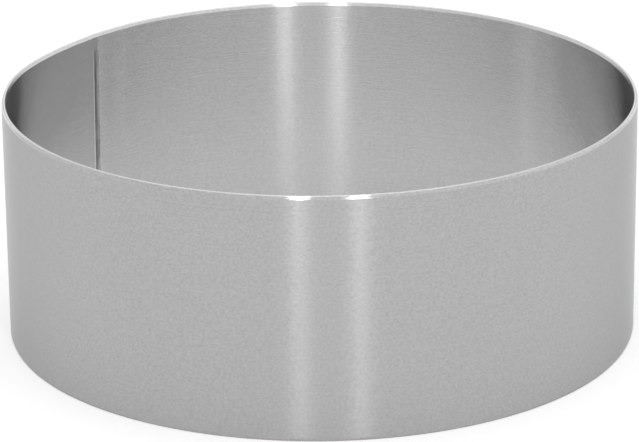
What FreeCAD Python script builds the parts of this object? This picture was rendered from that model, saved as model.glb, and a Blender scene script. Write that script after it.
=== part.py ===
import FreeCAD, Part
import os
import Sketcher

# Pastry ring: one strip of stainless sheet, rolled round, butt-welded to itself and
# dressed flush outside. The root of the weld still shows inside, as a shallow channel
# with a thin lip along one side, ground away near both rims.
# Frame: origin at the middle of the base, +Z up the ring's axis. The weld stands at
# seam_angle, counted from +X towards +Y.
# All lengths are in millimetres and all angles in degrees.

SIZES = {
    "outside_diameter": 130.0,
    "ring_height": 50.0,
    "wall_thickness": 1.0,
    "edge_radius": 0.35,
    "seam_angle": 139.4,
    "seam_lean": 1.2,
    "root_width": 1.4,
    "root_depth": 0.12,
    "root_end_gap": 3.7,
    "root_fade_length": 1.5,
    "lip_width": 0.45,
    "lip_height": 0.08,
}

# Places and radii that follow from the driving sizes.
OUTER_RADIUS = "sizes.outside_diameter / 2"
INNER_RADIUS = "(sizes.outside_diameter / 2 - sizes.wall_thickness)"
EASED_RADIUS = "min(sizes.edge_radius; 0.45 * sizes.wall_thickness)"
ROOT_RADIUS = "((sizes.root_width ^ 2 / 4 + sizes.root_depth ^ 2) / (2 * sizes.root_depth))"
ROOT_AXIS = INNER_RADIUS + " + sizes.root_depth - " + ROOT_RADIUS
LIP_RADIUS = "((sizes.lip_width ^ 2 / 4 + sizes.lip_height ^ 2) / (2 * sizes.lip_height))"
LIP_AXIS = INNER_RADIUS + " - sizes.lip_height + " + LIP_RADIUS
LIP_BESIDE = "-(sizes.root_width / 2 + 0.3 * sizes.lip_width)"
HALF_LENGTH = "(sizes.ring_height / 2 - sizes.root_end_gap - sizes.root_fade_length)"

# Each taper goes on past the wall's face by this factor, so that it runs out cleanly.
OVERRUN = 1.5

# How a sketch numbers an edge's two ends, its own two axes and its origin.
END = {"first": 1, "last": 2}
AXIS = {"across": -1, "up": -2}
ORIGIN = (AXIS["across"], END["first"])


def make_sheet(doc):
    """Put each driving size into its own named cell."""
    sheet = doc.addObject("Spreadsheet::Sheet", "sizes")
    for row, (name, value) in enumerate(SIZES.items(), start=1):
        sheet.set("A{}".format(row), name)
        sheet.set("B{}".format(row), str(value))
        sheet.setAlias("B{}".format(row), name)
    doc.recompute()


def add_sketch(body, name):
    """A sketch on the body's upright plane: across is radial, up is along the height."""
    sketch = body.newObject("Sketcher::SketchObject", name)
    for plane in body.Origin.OriginFeatures:
        if plane.Role == "XZ_Plane":
            sketch.AttachmentSupport = [(plane, "")]
    sketch.MapMode = "FlatFace"
    return sketch


def add_outline(sketch, corners):
    """A closed outline of straight edges through the corners, which are pairs."""
    edges = []
    for first, last in zip(corners, corners[1:] + corners[:1]):
        start = FreeCAD.Vector(first[0], first[1], 0)
        end = FreeCAD.Vector(last[0], last[1], 0)
        edges.append(sketch.addGeometry(Part.LineSegment(start, end), False))
    for edge, following in zip(edges, edges[1:] + edges[:1]):
        joint = (edge, END["last"], following, END["first"])
        sketch.addConstraint(Sketcher.Constraint("Coincident", *joint))
    return edges


def corner(edge):
    """The corner where an edge of an outline starts."""
    return (edge, END["first"])


def add_dimension(sketch, name, formula, kind, start, end):
    """A named distance between two points, taken from the sheet."""
    index = sketch.addConstraint(Sketcher.Constraint(kind, *start, *end, 1.0))
    sketch.renameConstraint(index, name)
    sketch.setExpression("Constraints." + name, formula)


def roll_strip(body):
    """The strip's section, taken once round the ring's axis."""
    section = add_sketch(body, "StripSection")
    outer = SIZES["outside_diameter"] / 2
    inner = outer - SIZES["wall_thickness"]
    top = SIZES["ring_height"]
    base, outside, rim, inside = add_outline(
        section, [(inner, 0), (outer, 0), (outer, top), (inner, top)])
    for level in (base, rim):
        section.addConstraint(Sketcher.Constraint("Horizontal", level))
    for upright in (outside, inside):
        section.addConstraint(Sketcher.Constraint("Vertical", upright))
    section.addConstraint(Sketcher.Constraint("PointOnObject", *corner(base), AXIS["across"]))
    add_dimension(section, "radius", OUTER_RADIUS, "DistanceX", ORIGIN, corner(outside))
    add_dimension(section, "wall", "sizes.wall_thickness",
                  "DistanceX", corner(base), corner(outside))
    add_dimension(section, "height", "sizes.ring_height",
                  "DistanceY", corner(outside), corner(rim))
    strip = body.newObject("PartDesign::Revolution", "RolledStrip")
    strip.Profile = section
    strip.ReferenceAxis = (section, ["V_Axis"])
    strip.Angle = 360.0
    return strip


def ease_edges(body, strip):
    """The deburred edges, inside and outside at both rims."""
    rims = [
        "Edge{}".format(number)
        for number, edge in enumerate(strip.Shape.Edges, start=1)
        if isinstance(edge.Curve, Part.Circle)
    ]
    eased = body.newObject("PartDesign::Fillet", "EasedEdges")
    eased.Base = (strip, rims)
    eased.setExpression("Radius", EASED_RADIUS)
    return eased


def long_section(body, name, side, axis, beside, radius, rise):
    """Half the section of a long round bar that leans with the weld and tapers at its ends.

    side is 1 where the half that faces outward is drawn, and -1 where it is the half that
    faces the ring's middle. axis is the radius at which the bar's own axis stands, beside
    is how far round the wall it lies from the middle of the weld, radius is the bar's own
    radius and rise is how much it loses in the taper.
    """
    section = add_sketch(body, name)
    section.AttachmentOffset = FreeCAD.Placement(
        FreeCAD.Vector(), FreeCAD.Rotation(FreeCAD.Vector(1, 0, 0), SIZES["seam_lean"]))
    section.setExpression("AttachmentOffset.Base.x", axis)
    section.setExpression("AttachmentOffset.Base.y", "sizes.ring_height / 2")
    section.setExpression("AttachmentOffset.Base.z", beside)
    section.setExpression("AttachmentOffset.Rotation.Angle", "sizes.seam_lean")
    wide = side * SIZES["root_width"]
    narrow = wide / 2
    stop = SIZES["ring_height"] / 2 - SIZES["root_end_gap"]
    bend = stop - SIZES["root_fade_length"]
    foot, low_taper, flank, high_taper, head, spine = add_outline(
        section,
        [(0, -stop), (narrow, -stop), (wide, -bend), (wide, bend), (narrow, stop), (0, stop)])
    section.addConstraint(Sketcher.Constraint("Horizontal", foot))
    section.addConstraint(Sketcher.Constraint("Horizontal", head))
    section.addConstraint(Sketcher.Constraint("Vertical", flank))
    section.addConstraint(Sketcher.Constraint("PointOnObject", *corner(foot), AXIS["up"]))
    section.addConstraint(Sketcher.Constraint("PointOnObject", *corner(spine), AXIS["up"]))
    tip_radius = "{} - {} * {}".format(radius, OVERRUN, rise)
    half_reach = "{} + {} * sizes.root_fade_length".format(HALF_LENGTH, OVERRUN)
    for label, formula, edge in (
            ("flank", radius, flank),
            ("low_tip", tip_radius, low_taper),
            ("high_tip", tip_radius, head)):
        ends = (ORIGIN, corner(edge)) if side > 0 else (corner(edge), ORIGIN)
        add_dimension(section, label, formula, "DistanceX", *ends)
    add_dimension(section, "low", HALF_LENGTH, "DistanceY", corner(flank), ORIGIN)
    add_dimension(section, "high", HALF_LENGTH, "DistanceY", ORIGIN, corner(high_taper))
    add_dimension(section, "bottom", half_reach, "DistanceY", corner(foot), ORIGIN)
    add_dimension(section, "top", half_reach, "DistanceY", ORIGIN, corner(spine))
    return section


def sink_root(body):
    """The shallow channel that the weld leaves along the inside."""
    section = long_section(body, "RootSection", 1, ROOT_AXIS, "0", ROOT_RADIUS, "sizes.root_depth")
    channel = body.newObject("PartDesign::Groove", "WeldRoot")
    channel.Profile = section
    channel.ReferenceAxis = (section, ["V_Axis"])
    channel.Angle = 360.0
    return channel


def raise_lip(body):
    """The thin lip beside the channel, where one end of the strip stands a little proud."""
    section = long_section(body, "LipSection", -1, LIP_AXIS, LIP_BESIDE, LIP_RADIUS,
                           "sizes.lip_height")
    lip = body.newObject("PartDesign::Revolution", "WeldLip")
    lip.Profile = section
    lip.ReferenceAxis = (section, ["V_Axis"])
    lip.Angle = 180.0
    lip.Midplane = True
    return lip


def check_document(doc):
    """Stop if any object failed to build."""
    for item in doc.Objects:
        if "Invalid" in item.State or "Error" in item.State:
            raise RuntimeError("{} failed: {}".format(item.Label, item.State))


def export_body(body):
    """Write the body's solid to a file of its own name."""
    shape = body.Shape
    if shape.isNull() or not shape.isValid() or len(shape.Solids) != 1:
        raise RuntimeError("{} is not one sound solid".format(body.Label))
    os.makedirs("parts", exist_ok=True)
    shape.exportStep("parts/{}.step".format(body.Label))
    print("{}: {:.2f} mm3, {} faces".format(body.Label, shape.Volume, len(shape.Faces)))


def main():
    doc = FreeCAD.newDocument("pastry_ring")
    make_sheet(doc)
    body = doc.addObject("PartDesign::Body", "ring_band")
    body.Label = "ring_band"
    strip = roll_strip(body)
    doc.recompute()
    ease_edges(body, strip)
    doc.recompute()
    plain_volume = body.Shape.Volume
    sink_root(body)
    doc.recompute()
    sunk_volume = body.Shape.Volume
    raise_lip(body)
    body.setExpression("Placement.Rotation.Angle", "sizes.seam_angle")
    doc.recompute()
    check_document(doc)
    if not sunk_volume < min(plain_volume, body.Shape.Volume):
        raise RuntimeError("the weld's channel or lip missed the wall")
    export_body(body)


main()
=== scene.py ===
from math import cos, pi, radians, sin, tan

import bpy
from mathutils import Matrix, Vector


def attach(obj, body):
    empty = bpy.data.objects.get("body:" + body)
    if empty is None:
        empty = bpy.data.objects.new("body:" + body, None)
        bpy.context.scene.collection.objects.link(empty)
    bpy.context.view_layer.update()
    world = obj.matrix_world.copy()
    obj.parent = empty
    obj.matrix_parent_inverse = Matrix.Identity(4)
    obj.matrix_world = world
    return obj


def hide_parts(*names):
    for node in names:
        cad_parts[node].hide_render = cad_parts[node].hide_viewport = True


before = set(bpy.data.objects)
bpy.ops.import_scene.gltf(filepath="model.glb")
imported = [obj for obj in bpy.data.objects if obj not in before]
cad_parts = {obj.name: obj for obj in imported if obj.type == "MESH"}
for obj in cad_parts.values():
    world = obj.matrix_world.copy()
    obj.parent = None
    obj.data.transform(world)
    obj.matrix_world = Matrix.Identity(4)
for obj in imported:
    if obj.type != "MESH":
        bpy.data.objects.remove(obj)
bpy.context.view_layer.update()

# Lengths are in metres and angles in radians. MM turns a length in millimetres into metres.
# The origin is the middle of the ring's base, Z is up, and the camera looks along +Y.
MM = 0.001

# The ring's wall, the sloping facets that deburring leaves, and a fine groove outside.
RING_RADIUS = 65 * MM
RING_HEIGHT = 50 * MM
WALL = 1.0 * MM
INNER_RADIUS = RING_RADIUS - WALL
MID_RADIUS = RING_RADIUS - WALL / 2
MID_HEIGHT = RING_HEIGHT / 2
CORNER_RADIUS = 0.10 * MM
FACET_WIDTH = 0.24 * MM
FACET_HEIGHT = 0.63 * MM
GROOVE_HEIGHT = 46.95 * MM
GROOVE_REACH = 0.15 * MM
GROOVE_DEPTH = 0.02 * MM

# The weld: the channel that its root leaves inside, and the thin lip along one side of that.
SEAM_ANGLE = radians(139.4)
SEAM_LEAN = radians(1.2)
SEAM_OUTWARD = Vector((cos(SEAM_ANGLE), sin(SEAM_ANGLE), 0))
SEAM_ROUND = Vector((-sin(SEAM_ANGLE), cos(SEAM_ANGLE), 0))
ROOT_WIDTH = 1.7 * MM
ROOT_BESIDE = 0.20 * MM
ROOT_DEPTH = 0.08 * MM
ROOT_END_GAP = 3.4 * MM
LIP_WIDTH = 0.45 * MM
LIP_HEIGHT = 0.05 * MM
LIP_BESIDE = ROOT_BESIDE + ROOT_WIDTH / 2 + 0.3 * LIP_WIDTH

# How rolling has left the strip: its left end a little flat, and a slight peak at the weld.
FLAT_DEPTH = 0.75 * MM
FLAT_REACH = 26 * MM
FLAT_ANGLE = radians(148)
PEAK_HEIGHT = 0.12 * MM
PEAK_REACH = 3.5 * MM

# Dents in the outer top edge: the bearing from the camera's own, the depth, which is less
# than 0 for a burr that stands out, and the reach.
RIM_NICKS = [
    (radians(-20.8), 0.03 * MM, 1.6 * MM),
    (radians(-18.9), 0.04 * MM, 1.4 * MM),
    (radians(1.2), 0.008 * MM, 0.9 * MM),
    (radians(3.1), -0.008 * MM, 0.9 * MM),
    (radians(13.6), -0.05 * MM, 2.0 * MM),
    (radians(16.4), 0.03 * MM, 1.4 * MM),
    (radians(19.2), 0.03 * MM, 1.2 * MM),
    (radians(20.6), -0.03 * MM, 1.0 * MM),
]

# How the band's mesh is laid out: small steps across the weld and larger ones elsewhere, and
# cuts beside each bend, so that smooth shading doesn't run over the flat faces.
FINE_ARC = radians(8)
FINE_STEPS = 80
COARSE_ARC = 2 * pi - FINE_ARC
COARSE_STEPS = 640
CORNER_STEPS = 4
INNER_CUTS = 29
OUTER_CUTS = 12
FACET_HOLD = 0.08 * MM
CORNER_HOLD = 0.1 * MM

# How vertices are found by place. Six tenths of a step finds the line of them that is nearest.
SNAP = 1e-6
FINE_REACH = 0.6 * FINE_ARC / FINE_STEPS * RING_RADIUS
COARSE_REACH = 0.6 * COARSE_ARC / COARSE_STEPS * RING_RADIUS
CORNER_ZONE = 1.01 * CORNER_RADIUS
WELD_ZONE = 0.9 * INNER_RADIUS
SKIN = 0.3 * WALL
NICK_ZONE = 0.45 * MM

# The photograph's camera, found by fitting both rims.
PHOTO_WIDTH = 639
FOCAL_PIXELS = 3548.7
SENSOR = 36.0
NEAREST_SEEN = 0.01
CAMERA_PLACE = Vector((-0.29, -692.5, 271.9)) * MM
CAMERA_TILT = radians(90 - 19.866)
CAMERA_ROLL = radians(-0.605)

# The softboxes beside the camera. Each has its name, its bearing from the camera's own, its
# width as an angle, the heights of its lower and its upper edge, and its radiance.
SOFTBOX_DISTANCE = 1.3
SOFTBOXES = [
    ("softbox_left", radians(-7.7), radians(2.9), 0.25, 1.1, 12.2),
    ("softbox_right", radians(13.1), radians(3.2), 0.2, 1.2, 9.4),
]

# The pale room: how bright it is all over, and what each part of it adds or takes away.
ROOM = 0.56
BACKDROP = 0.35
CEILING = 0.60
AHEAD = 0.20
SIDES = 0.10
LOW_SIDES = 0.22
HIGH_SIDES = 0.15
RIGHTWARD = 0.06

# The white floor, and the glow that it shows where it is looked at or mirrored. Inside the
# ring the glow falls to a small share, a painted shade on the floor there.
FLOOR_SIZE = 4
FLOOR_WHITE = 0.88
FLOOR_GLOW = 0.35
GLOW_INSIDE_AS_PAINTED_SHADE = 0.04

# How light the metal of each part of the band is. Painted light: the inner side is painted
# lighter than the outer wall, the top facets and edges lighter again, and those inside more so.
OUTSIDE = 0.418
INSIDE_PAINTED_LIGHTER = 0.74
TOP_FACETS_PAINTED_LIGHT = 0.78
TOP_EDGES_PAINTED_LIGHT = 0.82
INNER_FACETS_PAINTED_MORE = 0.18
INNER_EDGES_PAINTED_MORE = 0.14

# How far below the rim the painted highlight of the top facets and edges blends in, and how
# softly outside turns inside.
FACET_BLEND = 0.1 * MM
EDGE_START = 0.3 * MM
EDGE_END = 0.05 * MM
FACING_BLEND = 10 * MM

# How rough each part of the band is, and how well it still mirrors edge-on.
INNER_ROUGH = 0.21
OUTER_ROUGH = 0.23
INNER_FACETS_SMOOTHER = 0.04
OUTER_FACETS_SMOOTHER = 0.07
ROOT_ROUGHER = 0.4
INNER_GRAZING = 1.0
OUTER_GRAZING = 0.74

# The brushing: how many cells a metre each noise has along X, Y and Z, and how strong it is.
LINES = (300, 300, 5000)
STREAKS = (90, 90, 9000)
SPECKLE = (2000, 2000, 2500)
CLOUD = (45, 45, 60)
GRAIN_DEPTH = 1.4e-5
LINES_SHARE = 0.5
LINES_CONTRAST = 0.04
CLOUD_CONTRAST = 0.04
SPECKLE_CONTRAST = 0.23

# The darkened root: how much darker it is all over, in patches and in its darkest stretch,
# and how softly it ends. Along the lip beside it a painted highlight makes the wall a little
# lighter.
ROOT_SHADE = 0.20
PATCH_SHADE = 0.22
PATCHES = (900, 900, 260)
PATCH_START = 0.35
PATCH_END = 0.65
DARKEST_SHADE = 0.16
DARKEST_START = 35 * MM
DARKEST_END = 40 * MM
ROOT_SIDE_BLEND = 0.2 * MM
ROOT_END_BLEND = 0.4 * MM
# The painted highlight along the lip: how much lighter, where it lies beside the root, and how
# softly it fades.
PAINTED_LIP_HIGHLIGHT = 0.12
PAINTED_HIGHLIGHT_BESIDE = 0.62 * ROOT_WIDTH
PAINTED_HIGHLIGHT_START = 0.2 * MM
PAINTED_HIGHLIGHT_END = 0.1 * MM


def deselect_all():
    """Leave no object selected."""
    bpy.ops.object.select_all(action="DESELECT")


def choose(piece):
    """Make one piece the only one that is selected, and the active one."""
    deselect_all()
    bpy.context.view_layer.objects.active = piece
    piece.select_set(True)


def open_piece(piece):
    """Put one piece, by itself, into edit mode."""
    choose(piece)
    bpy.ops.object.mode_set(mode="EDIT")
    bpy.ops.mesh.select_mode(type="VERT")


def pick_vertices(piece, wanted):
    """Select only the vertices whose place passes the test."""
    bpy.ops.mesh.select_mode(type="VERT")
    bpy.ops.mesh.select_all(action="DESELECT")
    bpy.ops.object.mode_set(mode="OBJECT")
    for vertex in piece.data.vertices:
        vertex.select = wanted(vertex.co)
    bpy.ops.object.mode_set(mode="EDIT")


def pick_edges(piece, wanted):
    """Select only the edges whose two ends pass the test."""
    bpy.ops.mesh.select_mode(type="EDGE")
    bpy.ops.mesh.select_all(action="DESELECT")
    bpy.ops.object.mode_set(mode="OBJECT")
    points = piece.data.vertices
    for edge in piece.data.edges:
        first, second = edge.vertices
        edge.select = wanted(points[first].co, points[second].co)
    bpy.ops.object.mode_set(mode="EDIT")


def push(direction, reach, falloff):
    """Move what is selected, and draw the metal round it along."""
    bpy.ops.transform.translate(
        value=direction, use_proportional_edit=True, proportional_edit_falloff=falloff,
        proportional_size=reach)


def cut_across(height):
    """Cut whatever is open, level, at one height."""
    bpy.ops.mesh.select_all(action="SELECT")
    bpy.ops.mesh.bisect(plane_co=(0, 0, height), plane_no=(0, 0, 1), threshold=SNAP)


def lean_corners(section):
    """Pull the rounded corners in over the sheet, which leaves a sloping facet beside each."""
    for edge, inward in ((RING_RADIUS, -1), (INNER_RADIUS, 1)):
        pick_vertices(section, lambda p: abs(p.x - edge) < CORNER_ZONE
                      and abs(p.z - MID_HEIGHT) > MID_HEIGHT - CORNER_ZONE)
        bpy.ops.transform.translate(value=(inward * FACET_WIDTH, 0, 0))


def divide_faces(section):
    """Divide the two long upright edges, more finely inside, where the weld is formed."""
    for radius, cuts in ((INNER_RADIUS, INNER_CUTS), (RING_RADIUS, OUTER_CUTS)):
        pick_edges(section, lambda a, b: abs(a.x - radius) < SNAP and abs(b.x - radius) < SNAP
                   and abs(a.z - b.z) > MID_HEIGHT)
        bpy.ops.mesh.subdivide(number_cuts=cuts)


def press_groove(section):
    """Press the fine groove into the outer face."""
    pick_vertices(section, lambda p: p.x > MID_RADIUS
                  and abs(p.z - GROOVE_HEIGHT) < GROOVE_REACH / 2)
    bpy.ops.transform.translate(value=(-GROOVE_DEPTH, 0, 0))


def draw_section():
    """The strip's upright section with its four deburred corners, cut into short edges."""
    deselect_all()
    bpy.ops.mesh.primitive_plane_add(
        size=1, location=(MID_RADIUS, 0, MID_HEIGHT), rotation=(pi / 2, 0, 0))
    section = bpy.context.object
    section.name = "brushed_band"
    section.scale = (WALL, RING_HEIGHT, 1)
    bpy.ops.object.transform_apply(location=True, rotation=True, scale=True)
    open_piece(section)
    bpy.ops.mesh.select_all(action="SELECT")
    bpy.ops.mesh.bevel(
        offset=CORNER_RADIUS, offset_type="OFFSET", segments=CORNER_STEPS, affect="VERTICES")
    bpy.ops.mesh.select_all(action="SELECT")
    bpy.ops.mesh.delete(type="ONLY_FACE")
    cut_across(RING_HEIGHT - FACET_HEIGHT)
    cut_across(FACET_HEIGHT)
    lean_corners(section)
    for inset in (FACET_HEIGHT + FACET_HOLD, FACET_HEIGHT - FACET_HOLD,
                  CORNER_RADIUS + CORNER_HOLD):
        cut_across(RING_HEIGHT - inset)
        cut_across(inset)
    for step in (-2, -1, 0, 1, 2):
        cut_across(GROOVE_HEIGHT + step * GROOVE_REACH)
    divide_faces(section)
    press_groove(section)
    bpy.ops.object.mode_set(mode="OBJECT")
    return section


def roll_band():
    """Roll the strip round into a closed ring, starting beside the weld."""
    band = draw_section()
    band.rotation_euler = (0, 0, SEAM_ANGLE + FINE_ARC / 2)
    bpy.ops.object.transform_apply(rotation=True)
    open_piece(band)
    bpy.ops.mesh.select_all(action="SELECT")
    for steps, arc in ((FINE_STEPS, FINE_ARC), (COARSE_STEPS, COARSE_ARC)):
        bpy.ops.mesh.spin(steps=steps, angle=arc, center=(0, 0, 0), axis=(0, 0, 1))
    bpy.ops.mesh.select_all(action="SELECT")
    bpy.ops.mesh.remove_doubles(threshold=SNAP)
    bpy.ops.mesh.select_all(action="SELECT")
    bpy.ops.mesh.normals_make_consistent(inside=False)
    bpy.ops.object.mode_set(mode="OBJECT")
    return band


def beside_weld(place):
    """How far round the wall a place lies from the middle of the leaning weld."""
    return place.dot(SEAM_ROUND) + tan(SEAM_LEAN) * (place.z - MID_HEIGHT)


def on_inner_wall(place):
    """True for a place on the inner face near the weld."""
    return (place.dot(SEAM_OUTWARD) > WELD_ZONE
            and abs(place.to_2d().length - INNER_RADIUS) < SKIN)


def form_weld(band):
    """Sink the weld's root, raise the lip beside it and leave a slight peak at the joint."""
    half_length = MID_HEIGHT - ROOT_END_GAP - ROOT_WIDTH / 2
    open_piece(band)
    for middle, outward, width in (
            (ROOT_BESIDE, ROOT_DEPTH, ROOT_WIDTH), (LIP_BESIDE, -LIP_HEIGHT, LIP_WIDTH)):
        pick_vertices(band, lambda p: on_inner_wall(p)
                      and abs(beside_weld(p) - middle) < FINE_REACH
                      and abs(p.z - MID_HEIGHT) < half_length)
        push(SEAM_OUTWARD * outward, width / 2, "INVERSE_SQUARE")
    pick_vertices(band, lambda p: abs(beside_weld(p)) < FINE_REACH and p.dot(SEAM_OUTWARD) > 0)
    push(SEAM_OUTWARD * PEAK_HEIGHT, PEAK_REACH, "SHARP")
    bpy.ops.object.mode_set(mode="OBJECT")


def flatten_end(band):
    """Press the strip's left end a little flat, as rolling leaves it."""
    outward = Vector((cos(FLAT_ANGLE), sin(FLAT_ANGLE), 0))
    open_piece(band)
    pick_vertices(band, lambda p: abs(p.cross(outward).z) < COARSE_REACH and p.dot(outward) > 0)
    push(outward * -FLAT_DEPTH, FLAT_REACH, "SMOOTH")
    bpy.ops.object.mode_set(mode="OBJECT")


def nick_rim(band):
    """The small dents and burrs along the front of the outer top edge, none above the rim."""
    open_piece(band)
    for bearing, depth, reach in RIM_NICKS:
        outward = Vector((sin(bearing), -cos(bearing), 0))
        down = Vector((0, 0, abs(depth)))
        edge = Vector((0, 0, RING_HEIGHT - CORNER_RADIUS))
        spot = outward * (RING_RADIUS - FACET_WIDTH) + edge
        pick_vertices(band, lambda p: (p - spot).length < NICK_ZONE)
        push(outward * -depth - down, reach, "SHARP")
    bpy.ops.object.mode_set(mode="OBJECT")


class Value:
    """One number in a finish, reckoned with as in plain arithmetic."""

    def __init__(self, finish, socket):
        self.finish = finish
        self.socket = socket

    def reckon(self, operation, *numbers):
        """A number worked out from others by one Math node."""
        settings = {"operation": operation}
        return self.finish.node("ShaderNodeMath", settings, dict(enumerate(numbers)))

    def __add__(self, other):
        return self.reckon("ADD", self, other)

    def __radd__(self, other):
        return self.reckon("ADD", other, self)

    def __sub__(self, other):
        return self.reckon("SUBTRACT", self, other)

    def __rsub__(self, other):
        return self.reckon("SUBTRACT", other, self)

    def __mul__(self, other):
        return self.reckon("MULTIPLY", self, other)

    def __rmul__(self, other):
        return self.reckon("MULTIPLY", other, self)

    def __abs__(self):
        return self.reckon("ABSOLUTE", self)


class Finish:
    """The node tree of one surface."""

    def __init__(self, tree):
        self.tree = tree
        tree.nodes.clear()

    def node(self, kind, settings=None, values=None, output=0):
        """Add a node, set it up, fill its sockets and give back one of its outputs."""
        made = self.tree.nodes.new(kind)
        for name, setting in (settings or {}).items():
            setattr(made, name, setting)
        for name, value in (values or {}).items():
            socket = made.inputs[name]
            if isinstance(value, Value):
                self.tree.links.new(value.socket, socket)
            else:
                socket.default_value = value
        return Value(self, made.outputs[output]) if made.outputs else None

    def place(self):
        """The point's place in the row's frame, in metres."""
        return self.node("ShaderNodeTexCoord", output="Object")

    def apart(self, vector):
        """The three numbers of a vector."""
        first = self.node("ShaderNodeSeparateXYZ", values={0: vector})
        return [Value(self, socket) for socket in first.socket.node.outputs]

    def grey(self, tone):
        """A grey as bright as a number."""
        return self.node("ShaderNodeCombineColor", values={0: tone, 1: tone, 2: tone})

    def stretched_noise(self, vector, cells, detail=0.0):
        """Noise from 0 to 1 whose grain is set by how many cells it has a metre each way."""
        scaled = self.node("ShaderNodeMapping", values={"Vector": vector, "Scale": cells})
        return self.node("ShaderNodeTexNoise", values={
            "Vector": scaled, "Scale": 1.0, "Detail": detail, "Roughness": 0.5})

    def rise(self, value, low, high, start=0.0, end=1.0):
        """A soft step from start to end as a value goes from low to high."""
        return self.node("ShaderNodeMapRange", {"interpolation_type": "SMOOTHSTEP"},
                         {"Value": value, "From Min": low, "From Max": high,
                          "To Min": start, "To Max": end})

    def show(self, shader):
        """Send a shader to the surface."""
        self.node("ShaderNodeOutputMaterial", values={"Surface": shader})


def weld_root(steel, across, depth, up):
    """How much darker the weld's root is, patchy along its height, less a painted highlight along
    the lip beside it, and nothing elsewhere.
    """
    beside = across * SEAM_ROUND.x + depth * SEAM_ROUND.y + (up - MID_HEIGHT) * tan(SEAM_LEAN)
    outward = across * SEAM_OUTWARD.x + depth * SEAM_OUTWARD.y
    half_width = ROOT_WIDTH / 2
    half_length = MID_HEIGHT - ROOT_END_GAP
    within = steel.rise(abs(beside - ROOT_BESIDE), half_width, half_width - ROOT_SIDE_BLEND)
    ended = steel.rise(abs(up - MID_HEIGHT), half_length, half_length - ROOT_END_BLEND)
    here = steel.rise(outward, 0, INNER_RADIUS / 2)
    noise = steel.stretched_noise(steel.place(), PATCHES, detail=2.0)
    patches = steel.rise(noise, PATCH_START, PATCH_END)
    high = steel.rise(up, DARKEST_START, DARKEST_END)
    darkest = high * steel.rise(beside, 0, ROOT_WIDTH / 3)
    # A painted highlight along the lip, which lightens the wall there.
    painted_highlight = steel.rise(abs(beside - ROOT_BESIDE - PAINTED_HIGHLIGHT_BESIDE), PAINTED_HIGHLIGHT_START, PAINTED_HIGHLIGHT_END)
    shade = ROOT_SHADE + patches * PATCH_SHADE + darkest * DARKEST_SHADE
    return ended * here * (within * shade - painted_highlight * PAINTED_LIP_HIGHLIGHT)


def facing_outward(steel, across, depth):
    """1 where the surface faces away from the ring's axis, and 0 where it faces the axis."""
    normal = steel.node("ShaderNodeTexCoord", output="Normal")
    facing_across, facing_depth, _ = steel.apart(normal)
    away = across * facing_across + depth * facing_depth
    return steel.rise(away, -FACING_BLEND, FACING_BLEND)


def tone_with_painted_light(outside, facet, edge):
    """The clean metal's tone by the part of the band a place lies on, with painted light in it:
    the inner side and the top facets and edges are painted lighter.
    """
    tone = INSIDE_PAINTED_LIGHTER + outside * (OUTSIDE - INSIDE_PAINTED_LIGHTER)
    tone = tone + facet * (TOP_FACETS_PAINTED_LIGHT + (1 - outside) * INNER_FACETS_PAINTED_MORE - tone)
    return tone + edge * (TOP_EDGES_PAINTED_LIGHT + (1 - outside) * INNER_EDGES_PAINTED_MORE - tone)


def mottle(steel, place, lines):
    """The slight unevenness of brushed sheet, as a share of its tone. A noise's middle is 0.5."""
    cloud = steel.stretched_noise(place, CLOUD, detail=3.0)
    speckle = steel.stretched_noise(place, SPECKLE)
    return (1 + (cloud - 0.5) * CLOUD_CONTRAST + (lines - 0.5) * LINES_CONTRAST
            + (speckle - 0.5) * SPECKLE_CONTRAST)


def metal(steel, tone, rough, grazing, grain):
    """Metal brushed round the band, with grazing as how well it still mirrors edge-on."""
    return steel.node("ShaderNodeBsdfPrincipled", values={
        "Base Color": steel.grey(tone), "Metallic": 1.0, "Roughness": rough,
        "Anisotropic": 1.0, "Anisotropic Rotation": 0.25,
        "Specular Tint": (grazing, grazing, grazing, 1), "Normal": grain})


def brushed_stainless():
    """Stainless sheet brushed round the band, with painted light: lighter inside and on its
    top facets and edges, while the bottom ones keep the wall's tone.
    """
    material = bpy.data.materials.new("brushed_stainless")
    material.use_nodes = True
    steel = Finish(material.node_tree)
    place = steel.place()
    across, depth, up = steel.apart(place)
    shoulder = RING_HEIGHT - FACET_HEIGHT
    # Masks for the top facet and top edge only: a painted highlight lightens the metal there, and
    # the facet is also smoother.
    facet = steel.rise(up, shoulder - FACET_BLEND, shoulder + FACET_BLEND)
    edge = steel.rise(up, RING_HEIGHT - EDGE_START, RING_HEIGHT - EDGE_END)
    outside = facing_outward(steel, across, depth)
    root = weld_root(steel, across, depth, up) * (1 - outside)
    lines = steel.stretched_noise(place, LINES)
    height = lines * LINES_SHARE + steel.stretched_noise(place, STREAKS)
    grain = steel.node("ShaderNodeBump", values={
        "Strength": 1.0, "Distance": GRAIN_DEPTH, "Height": height})
    # The tone holds painted light: a lighter inner side, the painted highlight of the top facets
    # and edges, and one along the weld's lip.
    tone = tone_with_painted_light(outside, facet, edge) * mottle(steel, place, lines) * (1 - root)
    inner_rough = INNER_ROUGH - facet * INNER_FACETS_SMOOTHER + root * ROOT_ROUGHER
    outer_rough = OUTER_ROUGH - facet * OUTER_FACETS_SMOOTHER
    inner = metal(steel, tone, inner_rough, INNER_GRAZING, grain)
    outer = metal(steel, tone, outer_rough, OUTER_GRAZING, grain)
    steel.show(steel.node("ShaderNodeMixShader", values={0: outside, 1: inner, 2: outer}))
    return material


def finish_band(band):
    """Smooth the band and give it its metal."""
    choose(band)
    bpy.ops.object.shade_smooth()
    band.data.materials.clear()
    band.data.materials.append(brushed_stainless())
    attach(band, "root")
    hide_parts("ring_band")


def make_ring():
    """Roll the band, form what rolling, welding and use have left, and finish it."""
    band = roll_band()
    form_weld(band)
    flatten_end(band)
    nick_rim(band)
    finish_band(band)


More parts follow.
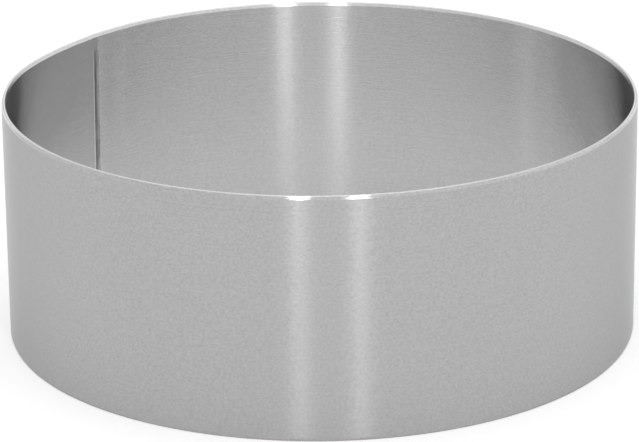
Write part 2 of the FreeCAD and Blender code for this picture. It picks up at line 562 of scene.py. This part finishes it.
def white_paper():
    """White paper that keeps a shadow, and glows round the ring where it is looked at; inside
    the ring the glow falls to a small share, a painted shade.
    """
    material = bpy.data.materials.new("white_floor")
    material.use_nodes = True
    paper = Finish(material.node_tree)
    seen = paper.node("ShaderNodeLightPath", output="Is Camera Ray")
    mirrored = paper.node("ShaderNodeLightPath", output="Is Glossy Ray")
    through = paper.node("ShaderNodeLightPath", output="Is Transmission Ray")
    looked_at = paper.node("ShaderNodeMath", {"operation": "MINIMUM"},
                           {0: seen + mirrored + through, 1: 1.0})
    across, depth, _ = paper.apart(paper.place())
    from_middle = paper.node("ShaderNodeMath", {"operation": "SQRT"},
                             {0: across * across + depth * depth})
    # Inside the ring the glow falls to a small share, a painted shade on the floor there.
    glow_with_painted_shade = paper.rise(from_middle, INNER_RADIUS, RING_RADIUS, GLOW_INSIDE_AS_PAINTED_SHADE, 1.0)
    white = (FLOOR_WHITE, FLOOR_WHITE, FLOOR_WHITE, 1)
    matt = paper.node("ShaderNodeBsdfDiffuse", values={"Color": white})
    glow = paper.node("ShaderNodeEmission", values={
        "Color": paper.grey(glow_with_painted_shade), "Strength": FLOOR_GLOW})
    bright = paper.node("ShaderNodeAddShader", values={0: matt, 1: glow})
    paper.show(paper.node("ShaderNodeMixShader", values={0: looked_at, 1: matt, 2: bright}))
    return material


def lay_floor():
    """A wide white floor that keeps the ring's shadow."""
    deselect_all()
    bpy.ops.mesh.primitive_plane_add(size=FLOOR_SIZE, location=(0, 0, 0))
    floor = bpy.context.object
    floor.name = "floor"
    floor.data.materials.append(white_paper())


def light_room():
    """A pale room, brighter behind the ring, overhead, and low in front and at the sides."""
    world = bpy.data.worlds.new("pale_room")
    bpy.context.scene.world = world
    world.use_nodes = True
    room = Finish(world.node_tree)
    # Each rise is between two shares of a direction whose whole length is 1.
    across, depth, up = room.apart(room.node("ShaderNodeTexCoord", output="Generated"))
    backdrop = room.rise(depth, 0.5, 0.9) * room.rise(up, 0.1, 0.35)
    ceiling = room.rise(up, 0.55, 0.95)
    ahead = room.rise(depth, -0.5, -0.9) * room.rise(up, 0.35, 0.15)
    sides = room.rise(abs(across), 0.4, 0.9)
    low = room.rise(up, 0, 0.08)
    high = room.rise(up, 0.2, 0.45)
    tone = ROOM + backdrop * BACKDROP + ceiling * CEILING + ahead * AHEAD
    tone = tone + sides * (low * LOW_SIDES - high * HIGH_SIDES - SIDES)
    tone = tone + across * RIGHTWARD
    shader = room.node("ShaderNodeBackground", values={"Color": room.grey(tone), "Strength": 1.0})
    room.node("ShaderNodeOutputWorld", values={"Surface": shader})


def hang_softboxes():
    """Tall narrow softboxes, each at its bearing from the camera's own, aimed at the ring."""
    for name, bearing, spread, low, high, radiance in SOFTBOXES:
        lamp = bpy.data.lights.new(name, "AREA")
        lamp.shape = "RECTANGLE"
        lamp.size = 2 * SOFTBOX_DISTANCE * tan(spread / 2)
        lamp.size_y = high - low
        lamp.energy = radiance * pi * lamp.size * lamp.size_y
        piece = bpy.data.objects.new(name, lamp)
        bpy.context.scene.collection.objects.link(piece)
        place = Vector((SOFTBOX_DISTANCE * sin(bearing), -SOFTBOX_DISTANCE * cos(bearing),
                        (low + high) / 2))
        turn = Matrix.Rotation(bearing, 4, "Z") @ Matrix.Rotation(radians(90), 4, "X")
        piece.matrix_world = Matrix.Translation(place) @ turn


def set_camera():
    """The photograph's own viewpoint."""
    lens = bpy.data.cameras.new("camera")
    lens.sensor_fit = "HORIZONTAL"
    lens.sensor_width = SENSOR
    lens.lens = FOCAL_PIXELS * SENSOR / PHOTO_WIDTH
    lens.clip_start = NEAREST_SEEN
    camera = bpy.data.objects.new("camera", lens)
    bpy.context.scene.collection.objects.link(camera)
    tilt = Matrix.Rotation(CAMERA_TILT, 4, "X") @ Matrix.Rotation(CAMERA_ROLL, 4, "Z")
    camera.matrix_world = Matrix.Translation(CAMERA_PLACE) @ tilt
    bpy.context.scene.camera = camera


make_ring()
lay_floor()
light_room()
hang_softboxes()
set_camera()
bpy.context.scene.view_settings.view_transform = "Standard"
